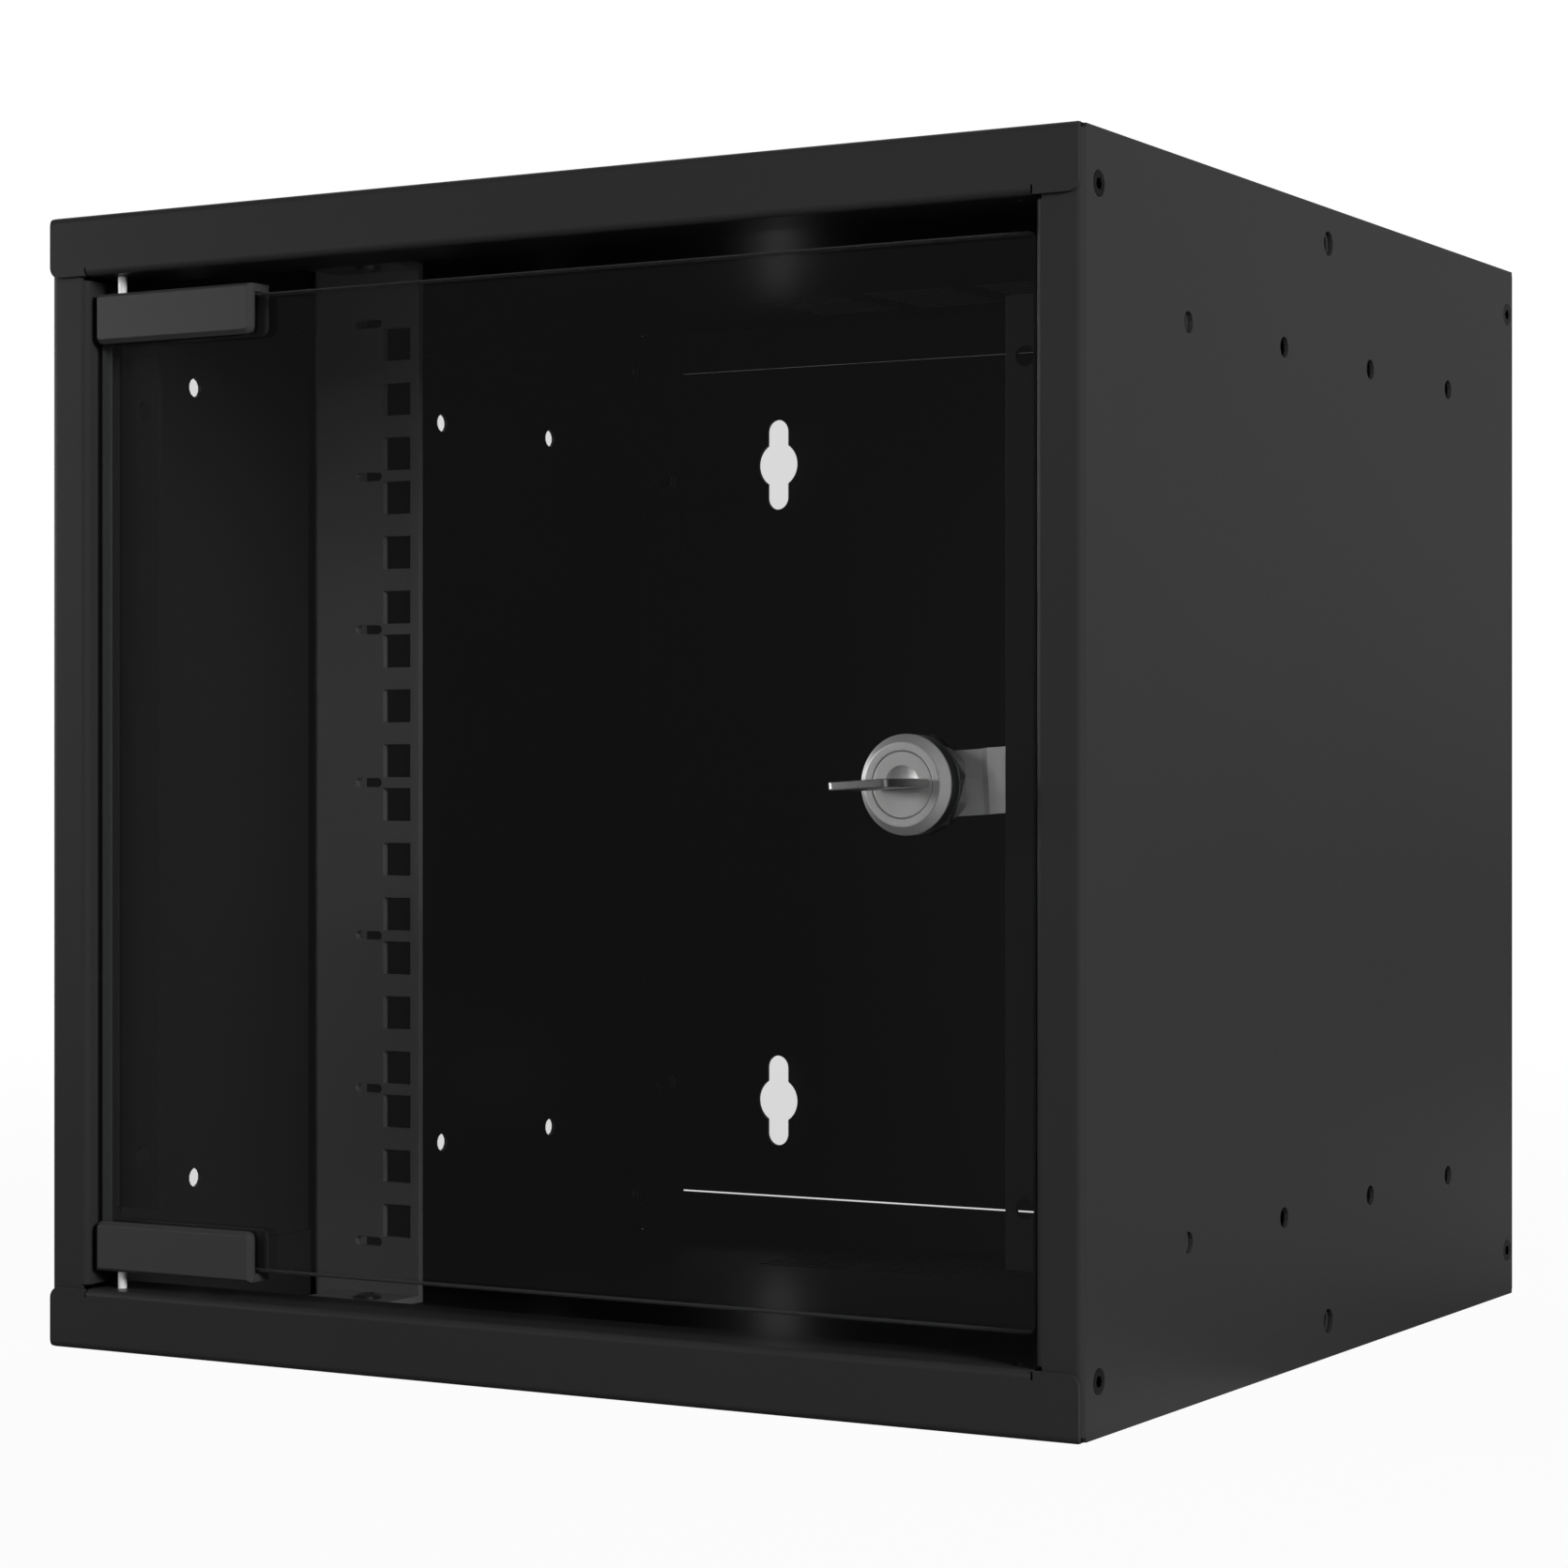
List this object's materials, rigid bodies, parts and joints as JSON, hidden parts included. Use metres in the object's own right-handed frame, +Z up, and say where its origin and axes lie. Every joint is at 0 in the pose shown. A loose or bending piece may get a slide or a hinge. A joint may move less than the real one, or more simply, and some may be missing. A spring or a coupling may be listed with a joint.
{
  "type": "wall mount network cabinet",
  "caption": "Small wall mount equipment cabinet with a folded steel case, punched front rails, a hinged glass door, a cam lock with key and keyholes in the back plate.",
  "frame": {"origin": "centre of the underside", "axes": "+X to the right seen from the front, -Y towards the door, +Z up"},
  "size_m": [0.306, 0.3198, 0.303],
  "materials": {
    "case_paint": "dark grey-black powder coat, fine texture, satin",
    "rail_paint": "dark grey-black powder coat, satin",
    "black_screw": "black finished screws, satin",
    "plated_steel": "zinc plated, lightly worn",
    "pane_glass": "clear toughened glass with a grey tint",
    "clip_paint": "dark grey-black coat, satin",
    "soft_liner": "black soft strip, matt",
    "pin_steel": "bright steel",
    "lock_chrome": "nickel plated, satin bright",
    "nut_steel": "plated steel",
    "cam_steel": "zinc plated sheet",
    "key_steel": "nickel plated key blank, polished"
  },
  "bodies": {
    "cabinet": {"side_panel_left": "case_paint", "side_panel_right": "case_paint", "bottom_panel": "case_paint", "top_panel": "case_paint", "back_panel": "case_paint", "rail_left": "rail_paint", "rail_right": "rail_paint", "rail_screws": "plated_steel", "side_screws_left": "black_screw", "side_screws_right": "black_screw", "tray_nuts_bottom": "plated_steel", "tray_nuts_top": "plated_steel", "back_screws": "black_screw", "back_nuts": "plated_steel"},
    "door": {"glass_pane": "pane_glass", "pivot_clip_bottom": "clip_paint", "pivot_clip_top": "clip_paint", "clip_liner_bottom": "soft_liner", "clip_liner_top": "soft_liner", "clip_screws_bottom": "black_screw", "clip_screws_top": "black_screw", "hinge_pin_bottom": "pin_steel", "hinge_pin_top": "pin_steel", "lock_housing": "lock_chrome", "lock_washer": "plated_steel", "lock_nut": "nut_steel"},
    "lock": {"lock_plug": "lock_chrome", "lock_cam": "cam_steel", "cam_washer": "plated_steel", "cam_screw": "plated_steel"},
    "key": {"lock_key": "key_steel"}
  },
  "joints": [
    {"name": "door_swing", "type": "hinge", "parent": "cabinet", "child": "door", "pos_m": [-0.1334, -0.1429, 0.1515], "axis": [0, 0, -1], "range_deg": [0, 105]},
    {"name": "lock_turn", "type": "hinge", "parent": "door", "child": "lock", "pos_m": [0.1054, -0.1449, 0.151], "axis": [0, 1, 0], "range_deg": [0, 90]},
    {"name": "key_pull", "type": "slide", "parent": "lock", "child": "key", "axis": [0, -1, 0], "range_m": [0, 0.03]}
  ]
}
